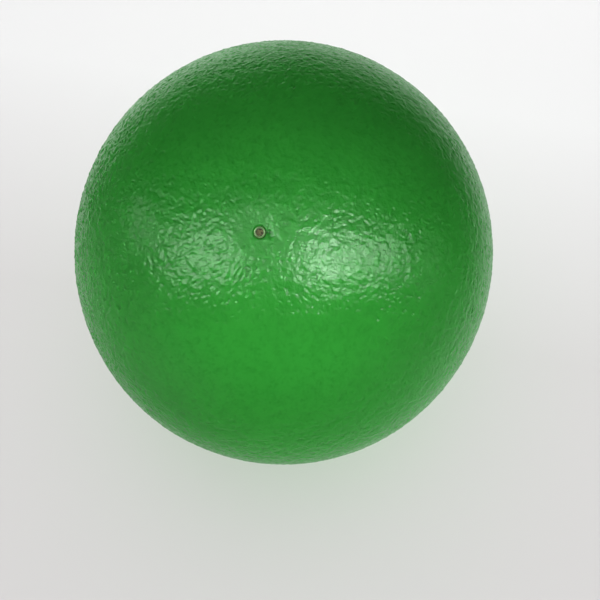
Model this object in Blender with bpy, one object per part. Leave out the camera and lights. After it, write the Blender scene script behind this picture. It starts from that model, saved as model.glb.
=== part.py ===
"""Coated foam play ball with a metal breather eyelet.

Units are metres and +Z is up. The ball stands on the small flat that its own weight presses
into its foot, and the origin is the middle of that flat. The vent points up and towards -Y.
Every piece is turned about the vent's axis, layer inside layer: skin, sealing coat, foam.
"""

from math import asin, cos, pi, radians, sin

import bmesh
import bpy

MM = 0.001

# The ball
BALL_RADIUS = 108.0 * MM  # an 8.5 inch ball
SKIN_THICKNESS = 1.2 * MM
COAT_THICKNESS = 0.4 * MM
GAP = 0.3 * MM  # left between pieces that touch
REST_DEPTH = 0.7 * MM  # how deep the weight presses the foot flat
VENT_ELEVATION = radians(60)

# The vent hole, and the shallow dimple that the skin makes round it
HOLE_RADIUS = 2.6 * MM
HOLE_ROUND = 0.4 * MM
DIMPLE_RADIUS = 9.0 * MM
DIMPLE_DEPTH = 0.5 * MM
DIMPLE_RING = 5.0 * MM  # one more ring of corners, between the hole and the dimple's edge

# The eyelet: a tube with a rolled lip, and the glue that holds it in the foam
BORE_RADIUS = 1.55 * MM
LIP_ROUND = 0.3 * MM  # half the width of the rolled lip, and the tube's wall
LIP_SINK = 0.25 * MM  # the lip's top below the edge of the skin
EYELET_LENGTH = 8.5 * MM
GLUE_WALL = 0.7 * MM
PLUG_SINK = 1.6 * MM  # the foam inside the tube, below the lip's top
PLUG_ROUND = 0.35 * MM

# Fineness
BALL_STEPS = 48
SMALL_STEPS = 32
MERGE_DISTANCE = 0.01 * MM
SHARP_ANGLE = radians(40)

# What follows from them
SKIN_INSIDE = BALL_RADIUS - SKIN_THICKNESS
COAT_OUTSIDE = SKIN_INSIDE - GAP
COAT_INSIDE = COAT_OUTSIDE - COAT_THICKNESS
CORE_RADIUS = COAT_INSIDE - GAP
CENTRE_HEIGHT = BALL_RADIUS - REST_DEPTH
TUBE_OUTSIDE = BORE_RADIUS + LIP_ROUND
GLUE_INSIDE = TUBE_OUTSIDE + GAP
GLUE_OUTSIDE = GLUE_INSIDE + GLUE_WALL


def clear_scene():
    """Remove whatever the scene already holds."""
    for thing in list(bpy.data.objects):
        bpy.data.objects.remove(thing, do_unlink=True)


def material(name, colour, roughness, metallic=0.0):
    """A Principled material of one colour."""
    made = bpy.data.materials.new(name)
    made.use_nodes = True
    shader = made.node_tree.nodes["Principled BSDF"]
    shader.inputs["Base Color"].default_value = (*colour, 1.0)
    shader.inputs["Roughness"].default_value = roughness
    shader.inputs["Metallic"].default_value = metallic
    return made


def arc(out, along, radius, first, last, steps):
    """Points of an arc about (out, along), between two angles in degrees from the outward side."""
    turns = [radians(first + (last - first) * n / steps) for n in range(steps + 1)]
    return [(out + radius * cos(turn), along + radius * sin(turn)) for turn in turns]


def ball_point(radius, angle):
    """The point of a dimpled ball at this angle from the vent's axis, as (outwards, along)."""
    from_axis = BALL_RADIUS * angle
    dimple = 0.0
    if from_axis < DIMPLE_RADIUS:
        dimple = DIMPLE_DEPTH * (1 + cos(pi * from_axis / DIMPLE_RADIUS)) / 2
    return (radius - dimple) * sin(angle), (radius - dimple) * cos(angle)


def height_at(radius, out):
    """How far along the vent's axis a ball of this radius has its surface, at a distance out."""
    return ball_point(radius, asin(out / radius))[1]


def ball_outline(radius, edge):
    """A ball's outline from its far pole up to the edge of its vent hole."""
    step = 2 * pi / BALL_STEPS
    angles = [pi - step * n for n in range(BALL_STEPS // 2)]
    angles += [asin(out / radius) for out in (DIMPLE_RADIUS, DIMPLE_RING, edge)]
    return [ball_point(radius, angle) for angle in angles]


LIP_TOP = height_at(BALL_RADIUS, HOLE_RADIUS + HOLE_ROUND) - LIP_SINK
TUBE_FOOT = LIP_TOP - EYELET_LENGTH


def skin_outline():
    """The skin: its outer side, the rounded mouth of its hole, and back down its inner side."""
    outer = ball_outline(BALL_RADIUS, HOLE_RADIUS + HOLE_ROUND)
    mouth_out, mouth_along = outer.pop()
    mouth = arc(mouth_out, mouth_along - HOLE_ROUND, HOLE_ROUND, 90, 180, 4)
    inner = ball_outline(SKIN_INSIDE, HOLE_RADIUS)
    return outer + mouth + inner[::-1]


def coat_outline():
    """The sealing coat: a thin shell under the skin, with the same hole."""
    outer = ball_outline(COAT_OUTSIDE, HOLE_RADIUS)
    inner = ball_outline(COAT_INSIDE, HOLE_RADIUS)
    return outer + inner[::-1]


def core_outline():
    """The foam ball, with a ring-shaped slot that leaves a plug of foam inside the eyelet."""
    slot_outside = GLUE_OUTSIDE + GAP
    slot_foot = TUBE_FOOT - GAP
    plug_radius = BORE_RADIUS - GAP
    plug_top = LIP_TOP - PLUG_SINK
    plug_edge = arc(plug_radius - PLUG_ROUND, plug_top - PLUG_ROUND, PLUG_ROUND, 0, 90, 3)
    outside = ball_outline(CORE_RADIUS, slot_outside)
    slot = [(slot_outside, slot_foot), (plug_radius, slot_foot)]
    return outside + slot + plug_edge + [(0.0, plug_top)]


def eyelet_outline():
    """The eyelet's wall: up its bore, over and under the rolled lip, and down the outside."""
    lip = arc(TUBE_OUTSIDE, LIP_TOP - LIP_ROUND, LIP_ROUND, 180, -90, 12)
    return [(BORE_RADIUS, TUBE_FOOT), *lip, (TUBE_OUTSIDE, TUBE_FOOT)]


def glue_outline():
    """The glue: a sleeve between the eyelet and the foam, up to the sealing coat."""
    top = height_at(COAT_INSIDE, HOLE_RADIUS) - GAP
    return [
        (GLUE_INSIDE, TUBE_FOOT),
        (GLUE_INSIDE, top),
        (GLUE_OUTSIDE, top),
        (GLUE_OUTSIDE, TUBE_FOOT),
    ]


def turned(name, outline, closed, steps, look, axis):
    """One piece, turned about the vent's axis from an outline that closes or ends on the axis."""
    shape = bmesh.new()
    corners = [shape.verts.new((out, 0.0, along)) for out, along in outline]
    following = corners[1:] + corners[:1] if closed else corners[1:]
    sides = [shape.edges.new(pair) for pair in zip(corners, following)]
    bmesh.ops.spin(
        shape,
        geom=corners + sides,
        cent=(0.0, 0.0, 0.0),
        axis=(0.0, 0.0, 1.0),
        angle=2 * pi,
        steps=steps,
    )
    bmesh.ops.remove_doubles(shape, verts=shape.verts, dist=MERGE_DISTANCE)
    bmesh.ops.recalc_face_normals(shape, faces=shape.faces)
    mesh = bpy.data.meshes.new(name)
    shape.to_mesh(mesh)
    shape.free()
    mesh.shade_smooth()
    mesh.set_sharp_from_angle(angle=SHARP_ANGLE)
    mesh.materials.append(look)
    piece = bpy.data.objects.new(name, mesh)
    bpy.context.collection.objects.link(piece)
    piece.parent = axis
    return piece


def make_vent_axis():
    """An empty at the ball's centre, whose own Z runs out through the vent."""
    axis = bpy.data.objects.new("vent_axis", None)
    bpy.context.collection.objects.link(axis)
    axis.location = (0.0, 0.0, CENTRE_HEIGHT)
    axis.rotation_euler = (pi / 2 - VENT_ELEVATION, 0.0, 0.0)
    axis.empty_display_size = 1.2 * BALL_RADIUS
    return axis


def press_foot_flat(piece):
    """Cut the piece off level with the floor, where it rests."""
    side = 2 * BALL_RADIUS
    shape = bmesh.new()
    bmesh.ops.create_cube(shape, size=side)
    bmesh.ops.translate(shape, verts=shape.verts, vec=(0.0, 0.0, -side / 2))
    mesh = bpy.data.meshes.new("floor_cutter")
    shape.to_mesh(mesh)
    shape.free()
    cutter = bpy.data.objects.new("floor_cutter", mesh)
    bpy.context.collection.objects.link(cutter)
    cutter.hide_render = True
    cutter.display_type = "WIRE"
    cut = piece.modifiers.new("rest_flat", "BOOLEAN")
    cut.operation = "DIFFERENCE"
    cut.solver = "EXACT"
    cut.object = cutter


def main():
    clear_scene()
    green_skin = material("green_skin", (0.026, 0.262, 0.030), 0.25)
    clear_coat = material("sealing_coat", (0.46, 0.40, 0.27), 0.45)
    tan_foam = material("tan_foam", (0.35, 0.26, 0.13), 0.95)
    nickel = material("nickel", (0.66, 0.64, 0.57), 0.30, metallic=1.0)
    amber_glue = material("amber_glue", (0.22, 0.13, 0.05), 0.35)

    axis = make_vent_axis()
    skin = turned("skin", skin_outline(), False, BALL_STEPS, green_skin, axis)
    press_foot_flat(skin)
    turned("seal_coat", coat_outline(), False, BALL_STEPS, clear_coat, axis)
    turned("foam_core", core_outline(), False, BALL_STEPS, tan_foam, axis)
    turned("vent_eyelet", eyelet_outline(), True, SMALL_STEPS, nickel, axis)
    turned("eyelet_glue", glue_outline(), True, SMALL_STEPS, amber_glue, axis)


main()
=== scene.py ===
"""Looks of a coated foam play ball: crinkled green skin, metal breather eyelet, foam behind it.

Units are metres and +Z is up, unless a name or comment says millimetres. Every piece is a stack
of rings of corners about the vent's axis, worked out from the frame.
"""

from itertools import product
from math import acos, asin, cos, hypot, pi, radians, sin

import bpy
import numpy as np
from mathutils import Matrix, Vector


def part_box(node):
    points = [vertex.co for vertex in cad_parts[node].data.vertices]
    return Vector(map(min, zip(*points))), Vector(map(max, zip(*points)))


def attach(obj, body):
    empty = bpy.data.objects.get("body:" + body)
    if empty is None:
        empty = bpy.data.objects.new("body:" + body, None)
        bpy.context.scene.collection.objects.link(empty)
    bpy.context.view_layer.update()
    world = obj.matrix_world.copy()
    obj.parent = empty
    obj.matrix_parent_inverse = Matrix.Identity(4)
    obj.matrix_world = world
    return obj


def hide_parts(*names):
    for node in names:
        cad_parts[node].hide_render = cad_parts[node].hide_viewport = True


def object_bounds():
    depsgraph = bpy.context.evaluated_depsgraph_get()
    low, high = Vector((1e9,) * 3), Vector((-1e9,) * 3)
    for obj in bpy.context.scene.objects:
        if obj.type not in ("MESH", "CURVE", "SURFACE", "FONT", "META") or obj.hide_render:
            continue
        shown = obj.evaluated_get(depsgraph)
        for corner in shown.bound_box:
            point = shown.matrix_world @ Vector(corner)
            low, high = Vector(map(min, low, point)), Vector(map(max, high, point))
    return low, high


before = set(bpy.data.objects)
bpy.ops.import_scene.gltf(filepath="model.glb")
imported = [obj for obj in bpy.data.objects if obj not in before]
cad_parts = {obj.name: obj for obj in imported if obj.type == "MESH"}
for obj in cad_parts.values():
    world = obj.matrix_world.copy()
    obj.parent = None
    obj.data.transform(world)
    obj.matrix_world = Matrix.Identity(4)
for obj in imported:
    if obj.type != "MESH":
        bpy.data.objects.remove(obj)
cad_low, cad_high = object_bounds()

MM = 0.001

# The ball and its vent, worked out from the frame
BALL_RADIUS = (cad_high.x - cad_low.x) / 2
CENTRE = Vector((0.0, 0.0, cad_high.z - BALL_RADIUS))
glue_low, glue_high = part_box("eyelet_glue")
VENT_AXIS = ((glue_low + glue_high) / 2 - CENTRE).normalized()
TURN = Vector((0, 0, 1)).rotation_difference(VENT_AXIS).to_matrix()

# The skin round the vent
SKIN_THICKNESS = 1.2 * MM
HOLE_RADIUS = 2.52 * MM
HOLE_FOOT_RADIUS = 2.10 * MM  # the hole narrows to this, where the skin's inner side begins
HOLE_ROUND = 0.6 * MM
MOUTH_LAST = 145  # degrees: where the rounded mouth ends
MOUTH_STEPS = 8
MOUTH_PAINTED_SHADE = 0.47  # painted shade in the hole's mouth: it is darkened as if it were this many millimetres deeper
DIMPLE_RADIUS = 11.5 * MM
DIMPLE_DEPTH = 0.95 * MM
CALM_RADIUS, CALM_END = 3 * MM, 15 * MM  # round the vent the crinkle is shallower
CALM_SHARE = 0.2
FOOT_INSIDE = 0.45 * MM  # how low the skin's inner side may reach

# The eyelet, the coat and the foam
BORE_RADIUS = 1.55 * MM
TUBE_WALL = 0.3 * MM
LIP_ROUND = 0.25 * MM
LIP_RADIUS = 1.84 * MM
LIP_SINK = 0.2 * MM
LIP_STEPS = 18
EYELET_LENGTH = 8.5 * MM
EYELET_WEAR = 0.03 * MM
GLUE_OUTSIDE = 2.85 * MM
GAP = 0.3 * MM
COAT_OUTSIDE = BALL_RADIUS - 1.5 * MM
COAT_INSIDE = BALL_RADIUS - 1.9 * MM
CORE_RADIUS = BALL_RADIUS - 2.2 * MM
PLUG_RADIUS = 1.5 * MM
PLUG_SINK = 1.1 * MM
PLUG_ROUND = 0.4 * MM
PLUG_CRUMBLE = 0.10 * MM
WEAR_SIZE = 0.6  # millimetres across, of the wear and the crumbs
WEAR_SEED = 50

# Fineness
RING_SPACING = 0.55 * MM
MOST_TURNS = 1152
LEAST_TURNS = 72
INSIDE_RINGS = 72
CORE_SPACING = 2.5 * MM
COAT_TURNS = 144
FOAM_TURNS = 72
EYELET_TURNS = 64

# The crinkle: size of its bumps and their depth, in millimetres
CRINKLE_SEED = 11
SWIRL_SIZE, SWIRL_SHIFT = 5.0, 0.8
WAVE_SIZE, WAVE_DEPTH = 3.6, 0.150
PEBBLE_SIZE, PEBBLE_DEPTH = 1.38, 0.295
PEBBLE_FLAT = 0.10  # noise below this leaves the skin flat between its bumps and dents
CREASE_SIZE, CREASE_DEPTH = 1.80, 0.050
CREASE_BLUNT, CREASE_LEVEL = 0.04, 0.35
GRAIN_SIZE, GRAIN_DEPTH = 0.90, 0.080
FIELD_SIZE = 16.0  # smoother and rougher fields
FIELD_ROUGH, FIELD_GAIN = 0.95, 0.30
SIDES_GAIN, LEFT_GAIN = 0.50, 0.40  # rougher towards both sides, and most towards -X
POOL_TILT, POOL_TURN = 15.0, -14.0  # where the spray pooled: from the vent's axis and round it
POOL_RADIUS, POOL_CALM = 16.0, 0.38

# How far the ball is from round
NARROWER = 0.011  # of its radius, along X
LUMP_DEPTH = 0.25 * MM
LUMP_SCALE, LUMP_SHIFT, LUMP_SEED = 1.3, 4.0, 31

# Pits left by bubbles: degrees from the vent's axis and round it, width and depth in millimetres
PITS = (
    (34.8, 88.4, 1.2, 0.75),
    (1.85, 6.5, 1.9, 0.52),
    (2.35, -14.0, 1.3, 0.45),
    (128.0, 200.0, 1.1, 0.7),
    (95.0, 320.0, 1.1, 0.7),
    (150.0, 60.0, 1.2, 0.7),
)

# The camera: it looks down at the ball, from the vent's side
CAMERA_AZIMUTH = 10.3
CAMERA_ELEVATION = 55.45
CAMERA_DISTANCE = 3.202 * BALL_RADIUS
LENS, SENSOR = 38.6, 36.0
AIM_RIGHT = 1.31
AIM_DOWN = 3.83

# Lights: name, degrees to the camera's right and above it, distance, width, height, radiance
SOFT_BOXES = (  # what the gloss mirrors
    ("left_box", -37, 0.5, 0.60, 0.41, 0.16, 5.1),
    ("left_wing", -72, 13, 0.61, 0.05, 0.14, 5.0),
    ("right_box", 33, -0.8, 0.60, 0.49, 0.16, 5.0),
    ("right_heart", 17, -2.8, 0.58, 0.16, 0.115, 9.2),
    ("right_wing", 72, -4, 0.61, 0.03, 0.20, 2.4),
    ("middle_glow", -3, 7.5, 0.62, 0.95, 0.32, 1.05),
)
FILLS = (  # what lights the green below the gloss
    ("near_fill", 5, -8, 0.30, 0.05, 0.05, 47.0),
    ("near_right_fill", 52, -36, 0.30, 0.05, 0.05, 9.3),
    ("near_left_fill", -60, -10, 0.30, 0.05, 0.05, 15.8),
    ("high_left_fill", -47, 40, 1.2, 0.4, 0.4, 4.1),
    ("bounce_right", 118, 0, 1.2, 0.4, 0.4, 21.0),
    ("bounce_left", -118, 25, 1.2, 0.4, 0.4, 11.5),
    ("bounce_behind", 180, 62, 1.2, 0.4, 0.4, 22.0),
    ("bounce_below", 180, -62, 1.2, 0.4, 0.4, 24.0),
)
PAPER_LIGHTS = (("paper_box", 61.2, False), ("paper_shade", 1.9, True))  # name, watts, shadow
PAPER_LIGHT_SIZE = 3.0
PAPER_LIGHT_PLACE = (0.05, 0.15, 1.5)

# The paper sweep
SWEEP_FRONT, SWEEP_REACH, SWEEP_BEND = -2.0, 0.50, 0.25
SWEEP_WALL = 0.36
SWEEP_HALF_WIDTH = 2.5
SWEEP_STEPS = 24


def camera_frame():
    """The directions from the ball to the camera, to the camera's right and to its top."""
    azimuth, elevation = radians(CAMERA_AZIMUTH), radians(CAMERA_ELEVATION)
    back = Vector((sin(azimuth) * cos(elevation), -cos(azimuth) * cos(elevation), sin(elevation)))
    right = Vector((cos(azimuth), sin(azimuth), 0))
    return back, right, back.cross(right)


def noise(at, seed):
    """Smooth noise, about -1 to 1, at each point; its bumps are about one unit across."""
    chance = np.random.default_rng(seed)
    order = chance.permutation(256)
    slopes = chance.normal(size=(256, 3))
    slopes /= np.linalg.norm(slopes, axis=1)[:, None]
    cell = np.floor(at).astype(np.int64)
    inside = at - cell
    fade = inside**3 * (inside * (inside * 6 - 15) + 10)
    total = np.zeros(len(at))
    for corner in product((0, 1), repeat=3):
        x, y, z = ((cell + corner) & 255).T
        which = order[(order[(order[x] + y) & 255] + z) & 255]
        ramp = ((inside - corner) * slopes[which]).sum(axis=1)
        total += ramp * np.where(corner, fade, 1 - fade).prod(axis=1)
    return 1.5 * total


def smooth_step(values, low, high):
    """0 below low, 1 above high, and a smooth rise between."""
    t = np.clip((values - low) / (high - low), 0, 1)
    return t * t * (3 - 2 * t)


def direction(tilt, turn):
    """The direction at this many degrees from the vent's axis and round it."""
    t, a = radians(tilt), radians(turn)
    return np.array(TURN @ Vector((sin(t) * cos(a), sin(t) * sin(a), cos(t))))


def roughness_at(directions):
    """How deep the fine crinkle is in each direction, about 1 on the whole."""
    at = directions * BALL_RADIUS / MM
    across = directions[:, 0]
    fields = smooth_step(noise(at / FIELD_SIZE, CRINKLE_SEED + 6), -0.5, 0.5)
    rough = FIELD_ROUGH + FIELD_GAIN * fields
    rough = rough * (1 + SIDES_GAIN * across**2 - LEFT_GAIN * across)
    away = np.linalg.norm(at - BALL_RADIUS / MM * direction(POOL_TILT, POOL_TURN), axis=1)
    return rough * (1 - POOL_CALM * np.exp(-((away / POOL_RADIUS) ** 2)))


def crinkle(directions):
    """Height of the sprayed skin's crinkle, in metres, in each direction from the ball's centre."""
    at = directions * BALL_RADIUS / MM
    seed = CRINKLE_SEED
    swirl = np.stack([noise(at / SWIRL_SIZE, seed + n) for n in range(3)], axis=1)
    bent = at + SWIRL_SHIFT * swirl
    waves = noise(bent / WAVE_SIZE, seed + 3)
    pebbles = (noise(bent / PEBBLE_SIZE, seed + n) for n in (4, 8))
    bumps, dents = (np.maximum(some - PEBBLE_FLAT, 0) for some in pebbles)
    grain = noise(bent / GRAIN_SIZE, seed + 5)
    creases = np.sqrt(noise(bent / CREASE_SIZE, seed + 7) ** 2 + CREASE_BLUNT) - CREASE_LEVEL
    fine = PEBBLE_DEPTH * (bumps - dents) + CREASE_DEPTH * creases + GRAIN_DEPTH * grain
    return MM * (WAVE_DEPTH * waves + roughness_at(directions) * fine)


def lumps(directions):
    """How far the hand-sprayed ball is from round, in metres, in each direction."""
    broad = noise(directions * LUMP_SCALE + LUMP_SHIFT, LUMP_SEED)
    return -NARROWER * BALL_RADIUS * directions[:, 0] ** 2 - LUMP_DEPTH * (1 - broad)


def pits(directions):
    """Depth of the pits, in metres, in each direction."""
    depth = np.zeros(len(directions))
    for tilt, turn, width, deep in PITS:
        away = np.linalg.norm(directions - direction(tilt, turn), axis=1) * BALL_RADIUS
        depth += deep * MM * np.exp(-((2 * away / (width * MM)) ** 2))
    return depth


def dimple(angles):
    """Depth of the dimple at these angles from the vent's axis."""
    out = np.minimum(BALL_RADIUS * angles / DIMPLE_RADIUS, 1)
    return DIMPLE_DEPTH * (1 + np.cos(pi * out)) / 2


def turns_at(angle, finest):
    """Corners in the ring at this angle: halved towards the poles, to stay evenly spaced."""
    turns = finest
    while turns > LEAST_TURNS and sin(angle) < 0.5 * turns / finest:
        turns //= 2
    return turns


def between(start, count, following, other):
    """Faces between two rings of corners: where each ring starts, and how many corners it has."""
    least, most = min(count, other), max(count, other)
    j = np.arange(most)
    if count == other:
        after = (j + 1) % most
        return np.stack([start + j, start + after, following + after, following + j], axis=1)
    fine, coarse = (start, following) if count > other else (following, start)
    if least == 1:
        faces = np.stack([fine + j, fine + (j + 1) % most, np.full(most, coarse)], axis=1)
    else:
        k = np.arange(least)
        first, middle, last = fine + 2 * k, fine + 2 * k + 1, fine + (2 * k + 2) % most
        here, there = coarse + k, coarse + (k + 1) % least
        corners = ((first, middle, here), (middle, there, here), (middle, last, there))
        faces = np.concatenate([np.stack(three, axis=1) for three in corners])
    return faces if count > other else faces[:, ::-1]


def stitched(name, rings, closed=False):
    """A mesh through rings of points.

    Each ring has as many points as the one before it, or twice or half as many, or is a pole.
    """
    sizes = [len(ring) for ring in rings]
    starts = np.cumsum([0] + sizes)[:-1]
    order = list(range(len(rings))) + ([0] if closed else [])
    faces = [between(starts[a], sizes[a], starts[b], sizes[b]) for a, b in zip(order, order[1:])]
    loops = np.concatenate([some.ravel() for some in faces])
    counts = np.concatenate([np.full(len(some), some.shape[1]) for some in faces])
    corners = np.concatenate(rings).astype(np.float32)
    mesh = bpy.data.meshes.new(name)
    mesh.vertices.add(len(corners))
    mesh.vertices.foreach_set("co", corners.ravel())
    mesh.loops.add(len(loops))
    mesh.loops.foreach_set("vertex_index", loops.astype(np.int32))
    mesh.polygons.add(len(counts))
    mesh.polygons.foreach_set("loop_start", (np.cumsum(counts) - counts).astype(np.int32))
    mesh.update(calc_edges=True)
    mesh.validate()
    mesh.shade_smooth()
    piece = bpy.data.objects.new(name, mesh)
    bpy.context.scene.collection.objects.link(piece)
    return piece


def ring(angle, turns):
    """Directions in a ring at this angle from the vent's axis; a ring of one is a pole."""
    if turns == 1:
        local = np.array([[0.0, 0.0, cos(angle)]])
    else:
        turn = 2 * pi * np.arange(turns) / turns
        along = np.full(turns, cos(angle))
        local = np.stack([sin(angle) * np.cos(turn), sin(angle) * np.sin(turn), along], axis=1)
    return local @ np.array(TURN).T


def arc(out, along, radius, first, last, steps):
    """Points of an arc about (out, along), between two angles in degrees from the outward side."""
    spread = [radians(first + (last - first) * n / steps) for n in range(steps + 1)]
    return [(out + radius * cos(turn), along + radius * sin(turn)) for turn in spread]


def polar(points):
    """Points (outwards, along the axis) as (angle from the axis, distance from the centre)."""
    return [(acos(along / hypot(out, along)), hypot(out, along)) for out, along in points]


def make_skin():
    """The elastomer skin: a closed shell with a round-mouthed vent hole and a foot pressed flat.

    Its stations are (angle from the vent's axis, radius, share of the crinkle).
    """
    mouth_out = HOLE_RADIUS + HOLE_ROUND
    edge = asin(mouth_out / BALL_RADIUS)
    count = round((pi - edge) * BALL_RADIUS / RING_SPACING)
    stations = [(pi - (pi - edge) * n / count, BALL_RADIUS, 1.0) for n in range(count + 1)]
    outside = len(stations)
    mouth_along = BALL_RADIUS * cos(edge) - HOLE_ROUND
    mouth = polar(arc(mouth_out, mouth_along, HOLE_ROUND, 90, MOUTH_LAST, MOUTH_STEPS)[1:])
    stations += [(angle, away, 1 - n / MOUTH_STEPS) for n, (angle, away) in enumerate(mouth, 1)]
    inside = BALL_RADIUS - SKIN_THICKNESS
    foot = asin(HOLE_FOOT_RADIUS / inside)
    inner = [foot + (pi - foot) * n / INSIDE_RINGS for n in range(INSIDE_RINGS + 1)]
    stations += [(angle, inside, 0.0) for angle in inner]

    turns = [turns_at(angle, MOST_TURNS) for angle, _, _ in stations[:outside]]
    turns += [turns_at(angle, 2 * LEAST_TURNS) for angle, _, _ in stations[outside:]]
    turns[0] = turns[-1] = 1
    directions = np.concatenate([ring(angle, n) for (angle, _, _), n in zip(stations, turns)])
    angles, radii, relief = (np.repeat(column, turns) for column in zip(*stations))
    near_vent = smooth_step(BALL_RADIUS * angles, CALM_RADIUS, CALM_END)
    height = crinkle(directions) * (1 - CALM_SHARE + CALM_SHARE * near_vent) - pits(directions)
    radii = radii + lumps(directions) + height * relief - dimple(angles)
    points = np.array(CENTRE) + directions * radii[:, None]
    lowest = np.where(np.arange(len(points)) < sum(turns[:outside]), 0.0, FOOT_INSIDE)
    points[:, 2] = np.maximum(points[:, 2], lowest)
    skin = stitched("ball_skin", np.split(points, np.cumsum(turns)[:-1]))
    # The relief attribute carries the crinkle's height and, at the hole's mouth, painted shade; the
    # skin's look turns its low values into painted shade.
    shade = skin.data.attributes.new("relief", "FLOAT", "POINT")
    # Painted shade: the hole's mouth is darkened, as if its wall lay in shadow.
    painted_mouth_shade = MOUTH_PAINTED_SHADE * np.clip(3 * (1 - relief), 0, 1)
    shade.data.foreach_set("value", (height * relief / MM - painted_mouth_shade).astype(np.float32))
    return skin


def lip_top():
    """How far along the vent's axis the eyelet's top is: a little below the mouth of the hole."""
    out = HOLE_RADIUS + HOLE_ROUND
    sunk = float(dimple(np.array([out / BALL_RADIUS]))[0])
    at_vent = float(lumps(np.array([VENT_AXIS]))[0])
    return BALL_RADIUS * cos(asin(out / BALL_RADIUS)) - sunk + at_vent - LIP_SINK


def turned(name, outline, turns, wear, lumpy=0, closed=False):
    """A piece turned about the vent's axis from an outline of (outwards, along).

    The outline runs up its outer side. Wear is how far noise shifts each of its points, and the
    first lumpy points follow the ball's lumps and its dimple.
    """
    stations = polar(outline)
    counts = [1 if out == 0 else turns for out, _ in outline]
    directions = np.concatenate([ring(angle, n) for (angle, _), n in zip(stations, counts)])
    angles, radii = (np.repeat(column, counts) for column in zip(*stations))
    follows = np.arange(len(radii)) < sum(counts[:lumpy])
    radii = radii + np.where(follows, lumps(directions) - dimple(angles), 0)
    points = np.array(CENTRE) + directions * radii[:, None]
    wear = np.repeat(wear, counts)
    for axis in range(3):
        points[:, axis] += wear * noise(points / MM / WEAR_SIZE, WEAR_SEED + axis)
    return stitched(name, np.split(points, np.cumsum(counts)[:-1]), closed)


def make_eyelet(top):
    """The eyelet: a tube with a rolled lip, a little uneven."""
    foot = top - EYELET_LENGTH
    outside = BORE_RADIUS + TUBE_WALL
    outline = [(outside, foot), (outside, top - 2.2 * LIP_ROUND)]
    outline += arc(LIP_RADIUS, top - LIP_ROUND, LIP_ROUND, -90, 180, LIP_STEPS)
    outline += [(BORE_RADIUS, top - EYELET_LENGTH / 2), (BORE_RADIUS, foot)]
    wear = [EYELET_WEAR] * len(outline)
    return turned("metal_eyelet", outline, EYELET_TURNS, wear, closed=True)


def ball_outline(radius, out):
    """A ball's outline from its far pole up to a hole of this radius round the vent."""
    edge = asin(out / radius)
    count = round((pi - edge) * radius / CORE_SPACING)
    angles = [pi - (pi - edge) * n / count for n in range(count + 1)]
    outline = [(radius * sin(angle), radius * cos(angle)) for angle in angles]
    outline[0] = (0.0, -radius)
    return outline


def make_coat():
    """The sealing coat: a thin shell between the foam and the skin, open round the glue."""
    hole = GLUE_OUTSIDE + GAP
    outline = ball_outline(COAT_OUTSIDE, hole) + ball_outline(COAT_INSIDE, hole)[::-1]
    wear = [0.0] * len(outline)
    return turned("coat_layer", outline, COAT_TURNS, wear, lumpy=len(outline))


def make_foam(top):
    """The foam ball, with a slot round the eyelet and a crumbly plug of foam inside it."""
    slot_out, slot_foot = GLUE_OUTSIDE + GAP, top - EYELET_LENGTH - GAP
    ball = ball_outline(CORE_RADIUS, slot_out)
    slot = [(slot_out, slot_foot), (PLUG_RADIUS, slot_foot)]
    plug_top = top - PLUG_SINK
    shoulder, face_out = plug_top - PLUG_ROUND, PLUG_RADIUS - PLUG_ROUND
    plug = [(PLUG_RADIUS, slot_foot + (shoulder - slot_foot) * n / 12) for n in range(1, 13)]
    plug += arc(face_out, shoulder, PLUG_ROUND, 0, 90, 5)[1:]
    plug += [(face_out * (1 - n / 9), plug_top) for n in range(1, 9)]
    plug += [(0.0, plug_top)]
    wear = [0.0] * len(ball + slot) + [PLUG_CRUMBLE] * len(plug)
    return turned("foam_body", ball + slot + plug, FOAM_TURNS, wear, lumpy=len(ball))


class Graph:
    """A node tree and the few steps that the materials and the world share."""

    def __init__(self, tree, place):
        self.nodes, self.links = tree.nodes, tree.links
        self.place = self.nodes.new("ShaderNodeTexCoord").outputs[place]

    def split(self):
        """The place's X, Y and Z."""
        split = self.nodes.new("ShaderNodeSeparateXYZ")
        self.links.new(self.place, split.inputs[0])
        return split.outputs

    def ranged(self, value, low, high, to_low, to_high, smooth=False):
        """Turn the range low to high into to_low to to_high, clamped."""
        box = self.nodes.new("ShaderNodeMapRange")
        box.interpolation_type = "SMOOTHSTEP" if smooth else "LINEAR"
        ends = zip(("From Min", "From Max", "To Min", "To Max"), (low, high, to_low, to_high))
        for name, number in ends:
            box.inputs[name].default_value = number
        self.links.new(value, box.inputs["Value"])
        return box.outputs["Result"]

    def calculated(self, operation, *values):
        """A sum or product of values, each a number or a node's output."""
        node = self.nodes.new("ShaderNodeMath")
        node.operation = operation
        for socket, value in zip(node.inputs, values):
            if isinstance(value, float):
                socket.default_value = value
            else:
                self.links.new(value, socket)
        return node.outputs["Value"]


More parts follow.
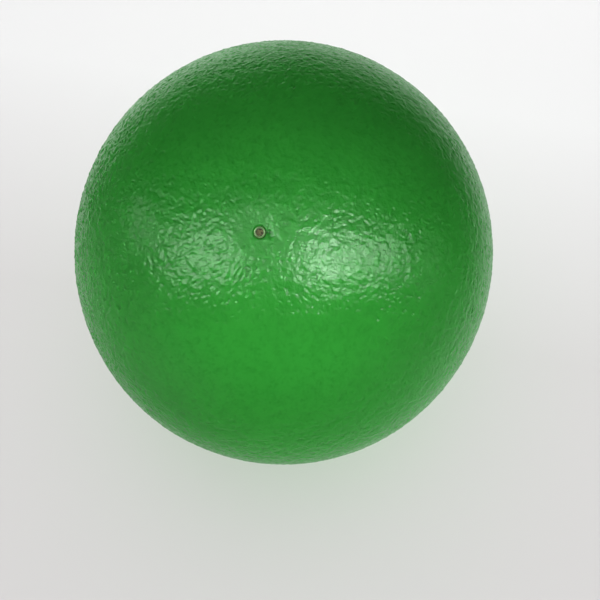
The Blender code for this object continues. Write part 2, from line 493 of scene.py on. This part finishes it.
class Look(Graph):
    """A node material."""

    def __init__(self, name, **values):
        self.made = bpy.data.materials.new(name)
        self.made.use_nodes = True
        super().__init__(self.made.node_tree, "Object")
        self.shader = self.nodes["Principled BSDF"]
        for name, value in values.items():
            self.shader.inputs[name.replace("_", " ")].default_value = value

    def noise(self, size, detail=2.0, roughness=0.5):
        """Noise whose bumps are about this many millimetres across."""
        texture = self.nodes.new("ShaderNodeTexNoise")
        texture.inputs["Scale"].default_value = 1 / (size * MM)
        texture.inputs["Detail"].default_value = detail
        texture.inputs["Roughness"].default_value = roughness
        self.links.new(self.place, texture.inputs["Vector"])
        return texture.outputs["Fac"]

    def mixed(self, factor, a, b):
        """A colour between a and b, each a colour or a node's output."""
        mix = self.nodes.new("ShaderNodeMix")
        mix.data_type = "RGBA"
        self.links.new(factor, mix.inputs["Factor"])
        for name, colour in (("A", a), ("B", b)):
            if isinstance(colour, tuple):
                mix.inputs[name].default_value = (*colour, 1)
            else:
                self.links.new(colour, mix.inputs[name])
        return mix.outputs["Result"]

    def clouds(self, size, a, b):
        """Soft patches of two colours, about this many millimetres across."""
        return self.mixed(self.ranged(self.noise(size, 3), 0.35, 0.65, 0, 1), a, b)

    def colour(self, colour):
        self.links.new(colour, self.shader.inputs["Base Color"])

    def gloss(self, size, detail, smoothest, roughest):
        """Roughness that changes from place to place."""
        patches = self.ranged(self.noise(size, detail), 0.3, 0.7, smoothest, roughest)
        self.links.new(patches, self.shader.inputs["Roughness"])

    def bump(self, height, depth):
        """A bump of this depth in millimetres."""
        bump = self.nodes.new("ShaderNodeBump")
        bump.inputs["Distance"].default_value = depth * MM
        self.links.new(height, bump.inputs["Height"])
        self.links.new(bump.outputs["Normal"], self.shader.inputs["Normal"])


def green_skin_look():
    look = Look("glossy_green_skin", IOR=1.5, Specular_Tint=(0.80, 1.0, 0.82, 1))
    green = look.clouds(40, (0.028, 0.280, 0.030), (0.031, 0.305, 0.033))
    relief = look.nodes.new("ShaderNodeAttribute")
    relief.attribute_name = "relief"
    # Painted shade: the low places of the crinkle are mixed towards a darker green, as if shade lay
    # in the creases.
    painted_crease_shade = look.ranged(relief.outputs["Fac"], 0.06, -0.22, 0, 0.35)
    green = look.mixed(painted_crease_shade, green, (0.014, 0.160, 0.016))
    # Painted shade: the deepest places, the pits and the hole's mouth, turn a near-black green, as
    # if shade filled them.
    painted_pit_shade = look.ranged(relief.outputs["Fac"], -0.44, -0.62, 0, 1)
    look.colour(look.mixed(painted_pit_shade, green, (0.003, 0.030, 0.004)))
    look.gloss(16, 4, 0.06, 0.13)
    look.bump(look.noise(0.75, 2.0, 0.55), 0.13)
    return look.made


def metal_look():
    look = Look("dull_nickel", Metallic=1.0)
    # Painted reflection: the nickel's colour is tinted green, as if it mirrored the green skin
    # round it, in two tones mixed in patches like stains.
    stain_and_reflected_green = look.ranged(look.noise(0.9, 4, 0.6), 0.42, 0.62, 0, 1)
    look.colour(look.mixed(stain_and_reflected_green, (0.355, 0.570, 0.290), (0.225, 0.345, 0.178)))
    look.gloss(0.3, 3, 0.28, 0.50)
    look.bump(look.noise(0.15, 3, 0.6), 0.02)
    return look.made


def foam_look():
    look = Look("tan_open_foam", Roughness=0.95, Sheen_Weight=0.15)
    patch = look.ranged(look.noise(0.8, 3), 0.42, 0.58, 0, 1)
    look.colour(look.mixed(patch, (0.150, 0.150, 0.062), (0.020, 0.020, 0.010)))
    cells = look.nodes.new("ShaderNodeTexVoronoi")
    cells.inputs["Scale"].default_value = 1 / (0.35 * MM)
    look.links.new(look.place, cells.inputs["Vector"])
    look.bump(cells.outputs["Distance"], 0.15)
    return look.made


def coat_look():
    look = Look("milky_sealing_coat")
    look.colour(look.clouds(8, (0.46, 0.40, 0.27), (0.34, 0.30, 0.20)))
    look.gloss(3, 3, 0.35, 0.6)
    look.bump(look.noise(2.0, 3), 0.12)
    return look.made


def glue_look():
    look = Look("amber_glue")
    look.colour(look.clouds(1.5, (0.16, 0.09, 0.035), (0.08, 0.045, 0.02)))
    look.gloss(1.0, 3, 0.25, 0.45)
    look.bump(look.noise(0.8, 2), 0.08)
    return look.made


def paper_look():
    """Pale paper, with painted light that brightens it towards the back, and a painted shadow where
    the ball's foot shades it.
    """
    look = Look("pale_paper", Roughness=0.9)
    # Painted light: the paper's colour brightens towards the back, as a light's falloff would.
    painted_light_to_back = look.ranged(look.split()["Y"], 0.02, 0.25, 0, 1)
    paper = look.mixed(painted_light_to_back, (0.588, 0.567, 0.573), (0.728, 0.724, 0.728))
    # Painted shadow: the paper darkens round the ball's foot.
    from_foot = look.nodes.new("ShaderNodeVectorMath")
    from_foot.operation = "LENGTH"
    look.links.new(look.place, from_foot.inputs[0])
    shaded = look.ranged(from_foot.outputs["Value"], 0.054, 0.010, 0, 1)
    look.colour(look.mixed(shaded, paper, (0.05, 0.06, 0.05)))
    return look.made


def add_piece(piece, node, look):
    """Put a piece in the place of a CAD node and its look."""
    piece.data.materials.append(look)
    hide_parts(node)
    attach(piece, "root")


def make_camera():
    back, right, up = camera_frame()
    data = bpy.data.cameras.new("camera")
    data.lens, data.sensor_width = LENS, SENSOR
    data.clip_start, data.clip_end = 0.01, 20.0
    camera = bpy.data.objects.new("camera", data)
    bpy.context.scene.collection.objects.link(camera)
    facing = Matrix((right, up, back)).transposed()
    aim = Matrix.Rotation(radians(-AIM_RIGHT), 3, "Y") @ Matrix.Rotation(radians(-AIM_DOWN), 3, "X")
    place = Matrix.Translation(CENTRE + back * CAMERA_DISTANCE)
    camera.matrix_world = place @ (facing @ aim).to_4x4()
    bpy.context.scene.camera = camera


def make_area(name, width, height, energy):
    """A rectangular light."""
    data = bpy.data.lights.new(name, "AREA")
    data.shape = "RECTANGLE"
    data.size, data.size_y = width, height
    data.energy = energy
    light = bpy.data.objects.new(name, data)
    bpy.context.scene.collection.objects.link(light)
    return light


def make_light(name, across, above, distance, width, height, radiance):
    """A light seen from the ball this many degrees to the camera's right and above it."""
    back, right, up = camera_frame()
    a, e = radians(across), radians(above)
    way = right * (sin(a) * cos(e)) + up * sin(e) + back * (cos(a) * cos(e))
    light = make_area(name, width, height, radiance * pi * width * height)
    side = up.cross(way).normalized()
    axes = Matrix((side, way.cross(side), way)).transposed().to_4x4()
    light.matrix_world = Matrix.Translation(CENTRE + way * distance) @ axes
    light.visible_camera = False
    return light


def gathered(name, pieces):
    """A collection of these pieces, for the lights that fall on nothing else."""
    lit = bpy.data.collections.new(name)
    for piece in pieces:
        lit.objects.link(piece)
    return lit


def make_sweep():
    """A pale paper sweep: a floor that curves up into a wall behind the ball."""
    bend = SWEEP_BEND
    profile = [(SWEEP_FRONT, 0.0), (SWEEP_REACH, 0.0)]
    for t in np.linspace(0, pi / 2, SWEEP_STEPS + 1)[1:]:
        profile.append((SWEEP_REACH + bend * sin(t), bend * (1 - cos(t))))
    profile.append((SWEEP_REACH + bend, SWEEP_WALL))
    corners = [(x, y, z) for y, z in profile for x in (-SWEEP_HALF_WIDTH, SWEEP_HALF_WIDTH)]
    faces = [(2 * n, 2 * n + 1, 2 * n + 3, 2 * n + 2) for n in range(len(profile) - 1)]
    mesh = bpy.data.meshes.new("paper_sweep")
    mesh.from_pydata(corners, [], faces)
    mesh.shade_smooth()
    mesh.materials.append(paper_look())
    sweep = bpy.data.objects.new("paper_sweep", mesh)
    bpy.context.scene.collection.objects.link(sweep)
    sweep.visible_glossy = False
    return sweep


def make_world():
    """A dim room with the paper's glow below, as the ball's rim mirrors it.

    It is brightest behind the ball, and there more on the left than on the right.
    """
    world = bpy.data.worlds.new("dim_room")
    world.use_nodes = True
    graph = Graph(world.node_tree, "Generated")
    x, y, z = graph.split()
    rise = graph.calculated("MULTIPLY_ADD", graph.calculated("MULTIPLY", x, x), y, z)
    rise = graph.calculated("MULTIPLY_ADD", y, -0.35, rise)
    rise = graph.calculated("MULTIPLY_ADD", x, 0.04, rise)
    behind_left = graph.calculated("MULTIPLY", graph.calculated("MULTIPLY", x, y), y)
    left = graph.ranged(behind_left, -0.14, -0.30, 0, 1, smooth=True)
    rise = graph.calculated("MULTIPLY_ADD", left, -0.20, rise)
    below = graph.ranged(rise, 0.05, -0.65, 0.03, 1.0, smooth=True)
    behind = graph.ranged(y, -0.9, 0.9, 0.14, 0.72, smooth=True)
    behind = graph.calculated("MULTIPLY_ADD", left, 0.20, behind)
    background = graph.nodes["Background"]
    graph.links.new(graph.calculated("MULTIPLY", behind, below), background.inputs["Strength"])
    background.inputs["Color"].default_value = (0.78, 1.0, 0.79, 1)
    bpy.context.scene.world = world


def make_lights(sweep, pieces):
    """Boxes for the ball's gloss, fills for its colour, and wide lights for the paper alone."""
    ball_only = gathered("lit_by_boxes", pieces)
    for box in SOFT_BOXES:
        light = make_light(*box)
        light.visible_diffuse = False
        light.light_linking.receiver_collection = ball_only
    for fill in FILLS:
        light = make_light(*fill)
        light.visible_glossy = False
        light.data.use_shadow = False
        light.light_linking.receiver_collection = ball_only
    paper_only = gathered("lit_by_paper_lights", [sweep])
    for name, power, shadow in PAPER_LIGHTS:
        light = make_area(name, PAPER_LIGHT_SIZE, PAPER_LIGHT_SIZE, power)
        light.location = PAPER_LIGHT_PLACE
        light.data.use_shadow = shadow
        light.light_linking.receiver_collection = paper_only


def main():
    top = lip_top()
    add_piece(make_skin(), "skin", green_skin_look())
    add_piece(make_eyelet(top), "vent_eyelet", metal_look())
    foam = make_foam(top)
    add_piece(foam, "foam_core", foam_look())
    add_piece(make_coat(), "seal_coat", coat_look())
    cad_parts["eyelet_glue"].material_slots[0].material = glue_look()
    pieces = [piece for piece in bpy.context.scene.objects if piece.type == "MESH"]

    make_camera()
    make_lights(make_sweep(), pieces)
    make_world()
    bpy.context.scene.view_settings.view_transform = "Standard"


main()
